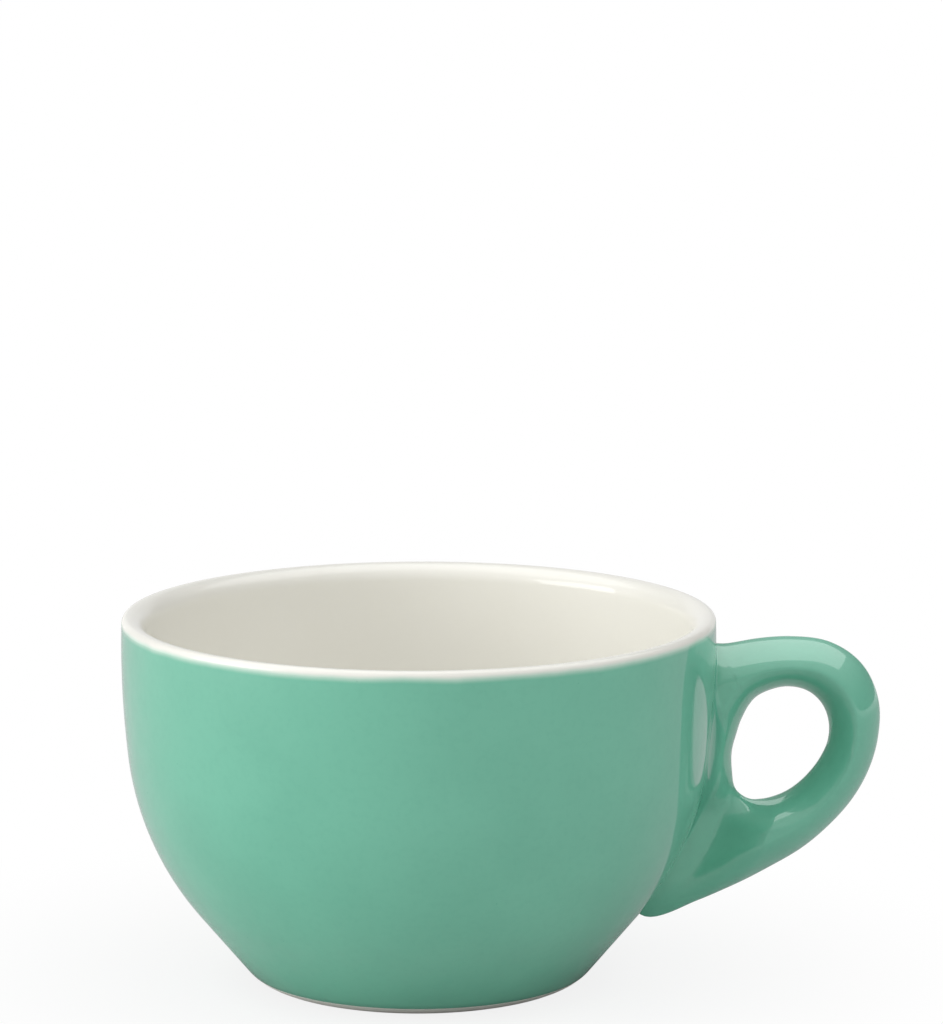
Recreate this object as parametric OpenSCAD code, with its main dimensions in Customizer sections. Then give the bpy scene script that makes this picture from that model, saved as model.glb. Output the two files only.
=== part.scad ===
// Flat white cup: a wide, low porcelain bowl on a foot ring, with a loop handle stuck on with slip.
// Lengths are in millimetres. The bowl turns about Z, the table is z = 0 and the handle points along +X.

/* [Bowl] */
// Greatest outer diameter of the glazed bowl
rim_d = 90; // [86:1:94]
// Height of the lip above the table
cup_h = 56.2; // [54.2:0.2:59.2]
// Outer diameter of the flat ring that the cup stands on
foot_d = 44; // [42:0.5:46]
// Radius of the rounded edge between the foot and the flare
foot_edge_r = 6; // [5:0.5:7]
// Angle of the straight flare above the foot, from vertical
flare_a = 39.7; // [38.5:0.1:41]
// Radius of the belly between the flare and the upper wall
belly_r = 45; // [42:1:48]
// Radius of the long, flat curve of the upper wall
wall_r = 145; // [120:5:180]
// Drop from the top of the lip to the widest place
widest_drop = 5.5; // [5:0.1:6.5]
// Radius of the lip's outer edge
lip_r = 0.9; // [0.8:0.1:1]

/* [Wall and floor] */
// Thickness of the glazed wall at the widest place
wall_t = 3.6; // [3.3:0.1:4]
// Thickness of the glazed wall at the flare
flare_t = 4.8; // [4.2:0.1:5.4]
// Thickness of the glazed floor over the recess
floor_t = 4.8; // [4:0.1:5.4]
// Radius of the inside of the upper wall
wall_in_r = 115; // [105:5:130]
// Radius of the inside of the belly
belly_in_r = 41; // [38:1:43]
// Radius of the hollow between the belly and the floor
floor_corner_r = 16; // [13:1:19]
// Depth of the recess under the foot
recess_h = 2.3; // [1.8:0.1:3]
// Width of the ring that the cup stands on
foot_ring_w = 4.5; // [3.5:0.5:6]

/* [Glaze] */
// Thickness of every coat of glaze
glaze_t = 0.3; // [0.2:0.05:0.4]
// Drop from the top of the lip to the line between the white and the green glaze
colour_drop = 1.1; // [1.1:0.1:6]
// Height of the bare foot below the green glaze
bare_h = 1.5; // [0.8:0.1:2]

/* [Handle] */
// Distance of the finger hole's middle outside the bowl's greatest radius
hole_out = 10; // [9:0.5:11]
// Height of the finger hole's middle above the table
hole_z = 36; // [34:0.5:38]
// Depth of the handle from side to side where it is gripped
grip_w = 10.4; // [9:0.2:12]
// Depth of the handle from side to side where it meets the bowl
root_w = 12; // [10:0.2:14]
// Greatest width of the rounding along the hole
hole_edge_w = 4.2; // [3.8:0.2:6]
// Greatest width of the rounding along the outer edge
outer_edge_w = 7.5; // [5:0.5:9]
// Squareness of the rounding: 2 is an ellipse, less is flatter
section_power = 1.45; // [1.3:0.05:2.2]
// Share of the handle's depth that is left where its tail meets the bowl
tail_share = 0.26; // [0.2:0.02:0.5]
// Distance from the bowl within which the tail is thinned in full
tail_gap = 4; // [3:0.5:5]
// Distance from the bowl beyond which the tail has its full depth
tail_reach = 12; // [10:0.5:14]
// Height under which the tail is thinned
tail_z = 25; // [22:0.5:28]
// Height above which the handle is not thinned
web_z = 34; // [31:0.5:38]
// Reach of the hollow in which the handle's sides run into the bowl beside the hole
seam_r = 3; // [2:0.5:4]
// Reach of that hollow under the lip and along the tail
seam_end_r = 0.4; // [0.3:0.1:1]
// Thickness of the bed of slip under the handle
slip_t = 0.4; // [0.3:0.1:0.6]

/* [Hidden] */
$fn = 128;
clay = "#d8d0c4";
white = "#f6f2e9";
green = "#69aa91";

// Centres and meeting angles of the tangent arcs outside, in the plane of radius and height
rim_r = rim_d / 2;
foot_c = [foot_d / 2, foot_edge_r];
wall_c = [rim_r - wall_r, cup_h - widest_drop];
flare_n = [cos(flare_a), -sin(flare_a)];
flare_k = flare_n * foot_c + foot_edge_r;
belly_a = belly_angle(wall_c, wall_r, belly_r, flare_k);
belly_c = wall_c + (wall_r - belly_r) * [cos(belly_a), -sin(belly_a)];
lip_a = asin((cup_h - lip_r - wall_c[1]) / (wall_r - lip_r));
lip_c = wall_c + (wall_r - lip_r) * [cos(lip_a), sin(lip_a)];

// Inside of the lip and the wall, and the hollow that rounds the belly into the floor
wall_in_c = [rim_r - wall_t - wall_in_r, wall_c[1]];
belly_in_a = belly_angle(wall_in_c, wall_in_r, belly_in_r, flare_k - flare_t);
belly_in_c = wall_in_c + (wall_in_r - belly_in_r) * [cos(belly_in_a), -sin(belly_in_a)];
lip_in_r = wall_t - lip_r;
lip_in_a = asin((cup_h - lip_in_r - wall_in_c[1]) / (wall_in_r + lip_in_r));
lip_in_c = wall_in_c + (wall_in_r + lip_in_r) * [cos(lip_in_a), sin(lip_in_a)];
floor_z = recess_h + floor_t;
corner_reach = belly_in_r - floor_corner_r;
floor_a = asin((belly_in_c[1] - floor_z - floor_corner_r) / corner_reach);
floor_c = belly_in_c + corner_reach * [cos(floor_a), -sin(floor_a)];

// Recess under the foot: the ring's rounded inner edge, then a hollow up to the flat middle
recess_slant = 20;
recess_edge_r = 1.5;
recess_edge_c = [foot_d / 2 - foot_ring_w, recess_edge_r];
recess_span = recess_h / (1 - sin(recess_slant));
recess_corner_r = recess_span - recess_edge_r;
recess_c = recess_edge_c - recess_span * [cos(recess_slant), sin(recess_slant)];

// Where the coats of glaze end
colour_a = asin((cup_h - colour_drop - wall_c[1]) / wall_r);
bare_a = asin((bare_h - foot_edge_r) / foot_edge_r);

// Sections of the handle, each in a plane through the finger hole's axis:
// direction from the hole's middle, distance to the hole's edge, distance to the outer edge.
// The first two and the last four end inside the bowl, where its wall cuts them off.
hole_c = [rim_r + hole_out, hole_z];
handle_sections = [
    [146, 7.1, 20],
    [131, 7.6, 20],
    [118, 8.1, 17.5],
    [102, 8.4, 16.6],
    [84, 8.8, 16.6],
    [64, 9, 17.3],
    [45, 8.7, 17.3],
    [25, 8, 16.3],
    [4, 7.2, 14.9],
    [-18, 6.5, 14.1],
    [-40, 6.3, 14.1],
    [-60, 6.6, 14.9],
    [-78, 7.3, 16.7],
    [-94, 8.2, 19.3],
    [-107, 9.1, 23.1],
    [-117, 9.8, 27.7],
    [-127, 10, 34],
    [-136, 9.7, 32],
    [-150, 8.5, 25],
    [-168, 7.6, 20],
    [-191, 6.9, 19]
];
between = 3;
section_points = 20;
// Share of the hollow's reach to which it goes on inside the wall
seam_deepest = 1.5;
// Heights between which the hollow has its full reach, and past which it has its least
hollow_heights = [14, 28, 40, 47];
stations = between * len(handle_sections);

// Angle below level at which an upper wall runs into a belly that then runs into the flare's line
function belly_angle(centre, upper_r, lower_r, k) =
    flare_a - acos((k - lower_r - flare_n * centre) / (upper_r - lower_r));

function reversed(points) = [for (i = [len(points) - 1:-1:0]) points[i]];

// A closed coat between two outlines that run side by side
function coat(outer, inner) = concat(outer, reversed(inner));

// Points along an arc, without its first points when it carries on from another
function arc(centre, r, a0, a1, steps, skip = 0) = [
    for (i = [skip:steps])
        let (a = a0 + (a1 - a0) * i / steps)
            centre + r * [cos(a), sin(a)]
];

// Outside of the bowl, from an angle on the foot's edge to an angle on the upper wall
function outside(inset, a0, a1) = concat(
    arc(foot_c, foot_edge_r - inset, a0, -flare_a, 8),
    arc(belly_c, belly_r - inset, -flare_a, -belly_a, 14),
    arc(wall_c, wall_r - inset, -belly_a, a1, 6, 1)
);

// Over the lip, from where the upper wall ends outside to where it starts inside
function crown(inset) = concat(
    arc(lip_c, lip_r - inset, lip_a, 90, 8, 1),
    arc(lip_in_c, lip_in_r - inset, 90, 180 + lip_in_a, 8, 1)
);

// Inside of the bowl, from the lip to the middle of the floor
function inside(inset) = concat(
    arc(wall_in_c, wall_in_r + inset, lip_in_a, -belly_in_a, 8, 1),
    arc(belly_in_c, belly_in_r + inset, -belly_in_a, -floor_a, 12, 1),
    arc(floor_c, floor_corner_r + inset, -floor_a, -90, 8, 1),
    [[0, floor_z - inset]]
);

// The white lining, from the colour line over the lip to the middle of the floor
function lining(inset) = concat(
    arc(wall_c, wall_r - inset, colour_a, lip_a, 1),
    crown(inset),
    inside(inset)
);

// Recess under the foot, from its middle to the ring's inner edge
function recess(inset) = concat(
    [[0, recess_h + inset]],
    arc(recess_c, recess_corner_r + inset, 90, recess_slant, 6)
);

// The clay of the bowl: bare at the foot, and set back under the glaze everywhere else
function bowl_outline() = concat(
    arc(foot_c, foot_edge_r, -90, bare_a, 6),
    outside(glaze_t, bare_a, lip_a),
    crown(glaze_t),
    inside(glaze_t),
    recess(glaze_t),
    arc(recess_edge_c, recess_edge_r, recess_slant - 180, -90, 6)
);

// Radius of the glazed bowl at a height
function bowl_r(z) =
    z < belly_c[1] - belly_r * sin(flare_a) ? (flare_k + z * sin(flare_a)) / cos(flare_a) :
    z < belly_c[1] - belly_r * sin(belly_a) ? belly_c[0] + sqrt(belly_r ^ 2 - (z - belly_c[1]) ^ 2) :
    wall_c[0] + sqrt(wall_r ^ 2 - (z - wall_c[1]) ^ 2);

// Row of the section list, which goes on round the hole past its ends
function section_row(i) =
    let (n = len(handle_sections), lap = floor(i / n))
        handle_sections[i - n * lap] - [360 * lap, 0, 0];

// Smooth curve through the four rows p, q, r and s, between q and r
function blended(p, q, r, s, t) =
    q + (r - p) * t / 2 + (2 * p - 5 * q + 4 * r - s) * t ^ 2 / 2 + (3 * q - p - 3 * r + s) * t ^ 3 / 2;

function station(i) =
    let (k = floor(i / between))
        blended(section_row(k - 1), section_row(k), section_row(k + 1), section_row(k + 2), i / between - k);

// Straight ramp from 0 at one value to 1 at another, and the same with a smooth start and end
function ramp(v, low, high) = min(max((v - low) / (high - low), 0), 1);
function smooth_ramp(v, low, high) =
    let (t = ramp(v, low, high))
        t ^ 2 * (3 - 2 * t);

// One side of an oval
function oval(c) = sign(c) * abs(c) ^ (2 / section_power);

// Share of the depth that is left at a point of the middle plane: the tail thins towards the bowl
function thinned(p) =
    let (
        gap = p[0] - bowl_r(p[2]),
        near = 1 - (ramp(gap, tail_gap, tail_reach) + smooth_ramp(gap, tail_gap, tail_reach)) / 2,
        low = 1 - smooth_ramp(p[2], tail_z, web_z)
    )
        1 - (1 - tail_share) * low * near;

// Reach of the seam's hollow at a height: broad beside the hole, slight under the lip and along the tail
function hollow_reach(z) =
    let (
        above = smooth_ramp(z, hollow_heights[0], hollow_heights[1]),
        below = 1 - smooth_ramp(z, hollow_heights[2], hollow_heights[3])
    )
        seam_end_r + (seam_r - seam_end_r) * above * below;

// How far the handle's side spreads at a point near the bowl, to run into the wall in a hollow
function seam_spread(p) =
    let (gap = norm([p[0], p[1]]) - bowl_r(p[2]), reach = hollow_reach(p[2]))
        min(max(reach - gap, 0), seam_deepest * reach) ^ 2 / (2 * reach);

// A point of the handle: station i round the hole, angle a round the section from the outer edge
function handle_point(i, a, inset) =
    let (
        row = station(i),
        direction = [cos(row[0]), 0, sin(row[0])],
        depth = (root_w + grip_w) / 4 - (root_w - grip_w) / 4 * cos(row[0]),
        half = (row[2] - row[1]) / 2,
        edge = min(cos(a) > 0 ? outer_edge_w : hole_edge_w, half),
        reach = row[1] + half + sign(cos(a)) * (half - edge) + edge * oval(cos(a)),
        place = [hole_c[0], 0, hole_c[1]] + reach * direction,
        skin = place + [0, depth * thinned(place) * oval(sin(a)), 0]
    )
        skin - inset * (oval(cos(a)) * direction + [0, oval(sin(a)), 0])
            + [0, seam_spread(skin) * sin(a) * abs(sin(a)), 0];

// The whole loop of the handle, running on into the bowl
module handle_form(inset) {
    points = [
        for (i = [0:stations - 1], j = [0:section_points - 1])
            handle_point(i, 360 * j / section_points, inset)
    ];
    faces = [
        for (i = [0:stations - 1], j = [0:section_points - 1])
            let (
                here = i * section_points,
                next = (i + 1) % stations * section_points,
                k = (j + 1) % section_points
            )
                each [[here + j, here + k, next + k], [here + j, next + k, next + j]]
    ];
    polyhedron(points, faces);
}

// The bowl's clay filled in, with a layer over it
module bowl_core(layer) {
    rim = outside(glaze_t - layer, -90, lip_a);
    rotate_extrude()
        polygon(concat([[0, rim[0][1]]], rim, [[0, rim[len(rim) - 1][1]]]));
}

module bowl() {
    color(clay)
        rotate_extrude()
            polygon(bowl_outline());
}

module handle() {
    color(clay)
        difference() {
            handle_form(glaze_t);
            bowl_core(slip_t);
        }
}

module handle_slip_joint() {
    color(clay)
        intersection() {
            handle_form(glaze_t);
            difference() {
                bowl_core(slip_t);
                bowl_core(0);
            }
        }
}

module inner_glaze() {
    color(white)
        rotate_extrude()
            polygon(coat(lining(0), lining(glaze_t)));
}

module outer_glaze() {
    color(green)
        difference() {
            rotate_extrude()
                polygon(coat(outside(0, bare_a, colour_a), outside(glaze_t, bare_a, colour_a)));
            handle_form(0);
        }
}

module handle_glaze() {
    color(green)
        difference() {
            handle_form(0);
            handle_form(glaze_t);
            bowl_core(0);
        }
}

module base_glaze() {
    color(white)
        rotate_extrude()
            polygon(coat(recess(0), recess(glaze_t)));
}

bowl();
handle();
handle_slip_joint();
inner_glaze();
outer_glaze();
handle_glaze();
base_glaze();
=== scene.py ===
"""Flat white cup: a wide, low porcelain cup, green outside and white inside, with a loop handle."""

import math

import bmesh
import bpy
from bpy.props import FloatProperty, FloatVectorProperty, IntProperty, PointerProperty
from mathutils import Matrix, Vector


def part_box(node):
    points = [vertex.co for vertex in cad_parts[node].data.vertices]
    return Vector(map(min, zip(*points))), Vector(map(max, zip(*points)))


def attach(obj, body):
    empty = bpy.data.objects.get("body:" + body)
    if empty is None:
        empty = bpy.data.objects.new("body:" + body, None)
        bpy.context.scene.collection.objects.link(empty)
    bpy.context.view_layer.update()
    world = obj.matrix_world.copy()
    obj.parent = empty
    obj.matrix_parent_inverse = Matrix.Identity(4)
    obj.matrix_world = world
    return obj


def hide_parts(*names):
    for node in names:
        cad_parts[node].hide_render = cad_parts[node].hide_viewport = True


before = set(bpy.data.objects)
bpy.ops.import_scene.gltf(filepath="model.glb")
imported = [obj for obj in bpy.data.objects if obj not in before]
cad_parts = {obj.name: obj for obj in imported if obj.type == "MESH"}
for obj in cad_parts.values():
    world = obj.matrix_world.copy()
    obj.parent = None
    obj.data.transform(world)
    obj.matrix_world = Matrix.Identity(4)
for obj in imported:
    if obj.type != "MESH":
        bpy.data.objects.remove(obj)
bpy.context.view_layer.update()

bl_info = {
    "name": "Flat White Cup",
    "version": (1, 0, 0),
    "blender": (4, 5, 0),
    "location": "View3D > Sidebar > Cup",
    "description": "Models a glazed porcelain coffee cup and the studio that it stands in",
    "category": "Add Mesh",
}

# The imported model's facets cut its round corners, so its width is rounded to a tenth of a millimetre
RIM_D = round(-2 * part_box("outer_glaze")[0].x, 4)
BODY = "root"
# Side of the square that an outline starts from, before it is merged to one point
START_SIDE = 0.001
# Gap within which points are merged, and distance within which an edge counts as part of a ring
MERGE_GAP = 1e-6
SAME_PLACE = 2e-5
EDGE_SEGMENTS = 3
SMOOTH_ANGLE = math.radians(35)
# Height under which the foot has been ground and rubbed
WORN_H = 0.0004


def length(name, description, default):
    """A length in metres that a user may change."""
    return FloatProperty(
        name=name,
        description=description,
        default=default,
        min=0.0,
        precision=5,
        subtype="DISTANCE",
        unit="LENGTH",
    )


def angle(name, description, degrees):
    """An angle that a user may change, given here in degrees."""
    return FloatProperty(
        name=name, description=description, default=math.radians(degrees), subtype="ANGLE", unit="ROTATION"
    )


def colour(name, description, default):
    """A linear colour that a user may change."""
    return FloatVectorProperty(
        name=name, description=description, default=default, size=3, min=0.0, max=1.0, subtype="COLOR"
    )


def number(name, description, default, low=0.0):
    """A plain number that a user may change."""
    return FloatProperty(name=name, description=description, default=default, min=low)


class CUP_PG_bowl(bpy.types.PropertyGroup):
    """Sizes of the bowl, its wall, its foot and its glaze."""

    rim_d: length("Rim diameter", "Greatest outer diameter of the glazed bowl", RIM_D)
    cup_h: length("Height", "Height of the lip above the table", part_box("inner_glaze")[1].z)
    foot_d: length("Foot diameter", "Outer diameter of the flat ring that the cup stands on", 0.044)
    foot_edge_r: length("Foot edge", "Radius of the rounded edge between the foot and the flare", 0.006)
    flare_a: angle("Flare", "Angle of the straight flare above the foot, from vertical", 39.7)
    belly_r: length("Belly radius", "Radius between the flare and the upper wall", 0.045)
    wall_r: length("Wall radius", "Radius of the long, flat curve of the upper wall", 0.145)
    widest_drop: length("Widest drop", "Drop from the top of the lip to the widest place", 0.0055)
    lip_r: length("Lip radius", "Radius of the lip's outer edge", 0.0009)
    lip_flat: length("Lip flat", "Width taken from the inner rounding, so that both meet in a flat", 0.0001)
    wall_t: length("Wall thickness", "Thickness of the glazed wall at the widest place", 0.0036)
    flare_t: length("Flare thickness", "Thickness of the glazed wall at the flare", 0.0048)
    floor_t: length("Floor thickness", "Thickness of the glazed floor over the recess", 0.0048)
    wall_in_r: length("Inner wall radius", "Radius of the inside of the upper wall", 0.115)
    belly_in_r: length("Inner belly radius", "Radius of the inside of the belly", 0.041)
    floor_corner_r: length("Floor hollow", "Radius of the hollow between the belly and the floor", 0.016)
    recess_h: length("Recess depth", "Depth of the recess under the foot", 0.0023)
    foot_ring_w: length("Foot ring width", "Width of the ring that the cup stands on", 0.0045)
    recess_edge_r: length("Recess edge", "Radius of the ring's inner edge", 0.0015)
    recess_slant: angle("Recess slant", "Slant of the recess wall where its edge and its hollow meet", 20)
    glaze_t: length("Glaze thickness", "Thickness of every coat of glaze", 0.0003)
    glaze_edge_r: length("Glaze edge", "Radius of the rounded lower edge of the green glaze", 0.00018)
    colour_drop: length("Colour line", "Drop from the top of the lip to the edge of the green", 0.0011)
    bare_h: length("Bare foot", "Height of the bare foot below the green glaze", 0.0015)
    around: IntProperty(name="Steps round", description="Facets round the bowl", default=192, min=32)


class CUP_PG_handle(bpy.types.PropertyGroup):
    """Sizes of the loop handle."""

    hole_out: length("Hole reach", "Distance of the finger hole's middle outside the rim's radius", 0.010)
    hole_z: length("Hole height", "Height of the finger hole's middle above the table", 0.036)
    grip_w: length("Grip depth", "Depth of the handle from side to side where it is gripped", 0.0104)
    root_w: length("Root depth", "Depth of the handle from side to side where it meets the bowl", 0.012)
    hole_edge_w: length("Hole rounding", "Greatest width of the rounding along the hole", 0.0042)
    outer_edge_w: length("Outer rounding", "Greatest width of the rounding along the outer edge", 0.0075)
    section_power: number("Section power", "Rounding's power: 2 is an ellipse, 1 is straight", 1.45, 1.2)
    tail_share: number("Tail share", "Share of the depth that is left where the tail meets the bowl", 0.26)
    tail_gap: length("Tail gap", "Distance from the bowl within which the tail is thinned in full", 0.0040)
    tail_reach: length("Tail reach", "Distance from the bowl at which the tail has its full depth", 0.0120)
    tail_z: length("Tail height", "Height under which the tail is thinned", 0.0250)
    web_z: length("Web height", "Height above which the handle is not thinned", 0.0340)
    seam_r: length("Seam hollow", "Reach of the hollow in which the handle runs into the bowl", 0.0030)
    seam_end_r: length("Seam hollow at ends", "Reach of that hollow under the lip and along the tail", 0.0004)


class CUP_PG_finish(bpy.types.PropertyGroup):
    """Colours of the clay and the glazes."""

    green: colour("Green glaze", "Colour of the green glaze where it lies evenly", (0.141, 0.495, 0.343))
    green_deep: colour("Deep green", "Colour of the green glaze where it has pooled", (0.082, 0.366, 0.249))
    green_thin: colour("Thin green", "Colour of the green where it thins out over white", (0.46, 0.69, 0.57))
    white: colour("White glaze", "Colour of the white glaze", (0.868, 0.857, 0.795))
    white_deep: colour("Deep white", "Colour of the white glaze where it has pooled", (0.84, 0.825, 0.75))
    clay: colour("Bare clay", "Colour of the bare porcelain foot", (0.86, 0.83, 0.78))
    clay_worn: colour("Worn clay", "Colour of the foot where it has been rubbed", (0.70, 0.66, 0.60))
    feather: length("Feather", "Width over which the green fades into the white", 0.0012)


class CUP_PG_studio(bpy.types.PropertyGroup):
    """Place of the camera, and levels of the studio light."""

    camera_back: length("Camera distance", "Distance of the camera in front of the bowl's axis", 0.6977)
    camera_h: length("Camera height", "Height of the camera above the table", 0.1894)
    camera_tilt: angle("Camera tilt", "Angle of the view below level", 9.576)
    camera_turn: angle("Camera turn", "Turn of the view towards the handle", 0.654)
    lens: number("Focal length", "Focal length in millimetres on a 36 mm sensor", 164.97, 1.0)
    ambient: number("Ambient", "Radiance of the even light from all round", 0.228)
    crown: number("Crown", "Radiance that the room's ceiling adds to the even light", 0.714)
    side: number("Side light", "Radiance of the softbox on the left", 5.1)
    fill: number("Fill light", "Radiance of the softbox on the right, which the glaze doesn't mirror", 0.88)
    backdrop: number("Backdrop", "Radiance of the white backdrop that the glaze mirrors at its edges", 0.9)
    sheet: number("Top reflection", "Radiance of the white sheet overhead that the glaze mirrors", 1.5)


class BowlShape:
    """Centres and meeting angles of the arcs in the bowl's outline, in the plane of radius and height."""

    def __init__(self, size):
        self.size = size
        self.rim_r = size.rim_d / 2
        widest_z = size.cup_h - size.widest_drop
        self.flare_n = Vector((math.cos(size.flare_a), -math.sin(size.flare_a)))
        self.foot_c = Vector((size.foot_d / 2, size.foot_edge_r))
        self.wall_c = Vector((self.rim_r - size.wall_r, widest_z))
        self.flare_k = self.flare_n.dot(self.foot_c) + size.foot_edge_r
        self.belly_a = self.belly_angle(self.wall_c, size.wall_r, size.belly_r, self.flare_k)
        self.belly_c = self.wall_c + (size.wall_r - size.belly_r) * polar(-self.belly_a)
        self.lip_a = math.asin((size.cup_h - size.lip_r - widest_z) / (size.wall_r - size.lip_r))
        self.lip_c = self.wall_c + (size.wall_r - size.lip_r) * polar(self.lip_a)
        self.wall_in_c = Vector((self.rim_r - size.wall_t - size.wall_in_r, widest_z))
        inner_k = self.flare_k - size.flare_t
        self.belly_in_a = self.belly_angle(self.wall_in_c, size.wall_in_r, size.belly_in_r, inner_k)
        self.belly_in_c = self.wall_in_c + (size.wall_in_r - size.belly_in_r) * polar(-self.belly_in_a)
        self.lip_in_r = size.wall_t - size.lip_r - size.lip_flat
        lip_reach = size.wall_in_r + self.lip_in_r
        self.lip_in_a = math.asin((size.cup_h - self.lip_in_r - widest_z) / lip_reach)
        self.lip_in_c = self.wall_in_c + lip_reach * polar(self.lip_in_a)
        self.floor_z = size.recess_h + size.floor_t
        corner_reach = size.belly_in_r - size.floor_corner_r
        self.floor_a = math.asin((self.belly_in_c.y - self.floor_z - size.floor_corner_r) / corner_reach)
        self.floor_c = self.belly_in_c + corner_reach * polar(-self.floor_a)
        self.recess_edge_c = Vector((size.foot_d / 2 - size.foot_ring_w, size.recess_edge_r))
        recess_span = size.recess_h / (1 - math.sin(size.recess_slant))
        self.recess_c = self.recess_edge_c - recess_span * polar(size.recess_slant)
        self.colour_z = size.cup_h - size.colour_drop
        self.colour_a = math.asin((self.colour_z - widest_z) / size.wall_r)
        self.bare_a = math.asin((size.bare_h - size.foot_edge_r) / size.foot_edge_r)

    def belly_angle(self, centre, upper_r, lower_r, k):
        """Angle below level at which an upper wall runs into a belly that then runs into the flare's line."""
        return self.size.flare_a - math.acos((k - lower_r - self.flare_n.dot(centre)) / (upper_r - lower_r))

    def radius(self, z):
        """Radius of the glazed bowl at a height above the foot's edge."""
        size = self.size
        if z < self.belly_c.y - size.belly_r * math.sin(size.flare_a):
            return (self.flare_k + z * math.sin(size.flare_a)) / math.cos(size.flare_a)
        if z < self.belly_c.y - size.belly_r * math.sin(self.belly_a):
            return self.belly_c.x + math.sqrt(size.belly_r**2 - (z - self.belly_c.y) ** 2)
        return self.wall_c.x + math.sqrt(size.wall_r**2 - (z - self.wall_c.y) ** 2)


def polar(a):
    """Unit vector at an angle above level."""
    return Vector((math.cos(a), math.sin(a)))


def smooth_step(value, low, high):
    """Smooth step from 0 at one value to 1 at another."""
    t = min(max((value - low) / (high - low), 0), 1)
    return t * t * (3 - 2 * t)


def soft_ramp(value, low, high):
    """Straight ramp from 0 at one value to 1 at another, with its ends eased."""
    t = min(max((value - low) / (high - low), 0), 1)
    return (t + smooth_step(t, 0, 1)) / 2


def start_line(name, point):
    """Starts a piece as one point of an outline in the plane of radius and height, and stays in edit mode."""
    bpy.ops.object.select_all(action="DESELECT")
    bpy.ops.mesh.primitive_plane_add(size=START_SIDE, location=(point.x, 0, point.y))
    obj = bpy.context.object
    obj.name = name
    bpy.ops.object.transform_apply(location=True, rotation=False, scale=False)
    bpy.ops.object.mode_set(mode="EDIT")
    bpy.ops.mesh.merge(type="CENTER")
    return obj


def line_by(step):
    """Draws the outline on by a straight step of radius and height."""
    bpy.ops.mesh.extrude_region_move(TRANSFORM_OT_translate={"value": (step.x, 0, step.y)})


def arc_about(centre, a0, a1, steps):
    """Draws the outline on along an arc about a centre, from one angle above level to another. The radius is
    the outline's distance from the centre, so an outline that starts one coat deeper stays so."""
    bpy.ops.mesh.spin(
        steps=steps, angle=a1 - a0, center=(centre.x, 0, centre.y), axis=(0, 1, 0), use_auto_merge=False
    )


def draw_flank(bowl, foot_steps, belly_steps):
    """Draws the outline on from the top of the bare foot up the flare and the belly."""
    size = bowl.size
    arc_about(bowl.foot_c, bowl.bare_a, -size.flare_a, foot_steps)
    line_by(bowl.belly_c - bowl.foot_c + (size.belly_r - size.foot_edge_r) * polar(-size.flare_a))
    arc_about(bowl.belly_c, -size.flare_a, -bowl.belly_a, belly_steps)


def draw_lining(bowl, lip_steps, wall_steps, belly_steps, corner_steps):
    """Draws the outline on over the lip, down the inside of the bowl and along its floor to the axis."""
    arc_about(bowl.lip_c, bowl.lip_a, math.pi / 2, lip_steps)
    line_by(Vector((bowl.lip_in_c.x - bowl.lip_c.x, 0)))
    arc_about(bowl.lip_in_c, math.pi / 2, math.pi + bowl.lip_in_a, lip_steps)
    arc_about(bowl.wall_in_c, bowl.lip_in_a, -bowl.belly_in_a, wall_steps)
    arc_about(bowl.belly_in_c, -bowl.belly_in_a, -bowl.floor_a, belly_steps)
    arc_about(bowl.floor_c, -bowl.floor_a, -math.pi / 2, corner_steps)
    line_by(Vector((-bowl.floor_c.x, 0)))


def turn_round(steps):
    """Turns the whole outline round the cup's axis, closes the seam and the poles, and leaves edit mode."""
    bpy.ops.mesh.select_all(action="SELECT")
    bpy.ops.mesh.spin(steps=steps, angle=math.tau, center=(0, 0, 0), axis=(0, 0, 1))
    bpy.ops.mesh.select_all(action="SELECT")
    bpy.ops.mesh.remove_doubles(threshold=MERGE_GAP)
    bpy.ops.mesh.delete_loose(use_verts=True, use_edges=True, use_faces=False)
    bpy.ops.mesh.select_all(action="SELECT")
    bpy.ops.mesh.normals_make_consistent(inside=False)
    bpy.ops.object.mode_set(mode="OBJECT")


def thicken(obj, thickness):
    """Gives an open skin its thickness on the inner side."""
    wall = obj.modifiers.new("glaze thickness", "SOLIDIFY")
    wall.thickness = thickness
    wall.offset = -1
    wall.use_even_offset = True
    bpy.ops.object.modifier_apply(modifier=wall.name)


def round_ring(obj, ring, radius):
    """Rounds the edge that runs round the cup through a point of radius and height."""
    bpy.ops.object.mode_set(mode="EDIT")
    bpy.ops.mesh.select_mode(type="EDGE")
    bpy.ops.mesh.select_all(action="DESELECT")
    mesh = bmesh.from_edit_mesh(obj.data)
    for edge in mesh.edges:
        places = [Vector((vert.co.xy.length, vert.co.z)) for vert in edge.verts]
        edge.select_set(all((place - ring).length < SAME_PLACE for place in places))
    bmesh.update_edit_mesh(obj.data)
    bpy.ops.mesh.bevel(offset=radius, segments=EDGE_SEGMENTS, affect="EDGES")
    bpy.ops.mesh.select_mode(type="VERT")
    bpy.ops.object.mode_set(mode="OBJECT")


def require_closed(obj):
    """Stops the script where a piece has an open edge."""
    mesh = bmesh.new()
    mesh.from_mesh(obj.data)
    closed = all(edge.is_manifold for edge in mesh.edges)
    mesh.free()
    if not closed:
        raise RuntimeError(f"{obj.name} has an open edge")


def finish_piece(obj, material, node):
    """Checks that a piece is closed, shades it, gives it its material, and lets it stand for its node."""
    require_closed(obj)
    bpy.ops.object.shade_smooth_by_angle(angle=SMOOTH_ANGLE)
    obj.data.materials.clear()
    obj.data.materials.append(material)
    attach(obj, BODY)
    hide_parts(node)


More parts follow.
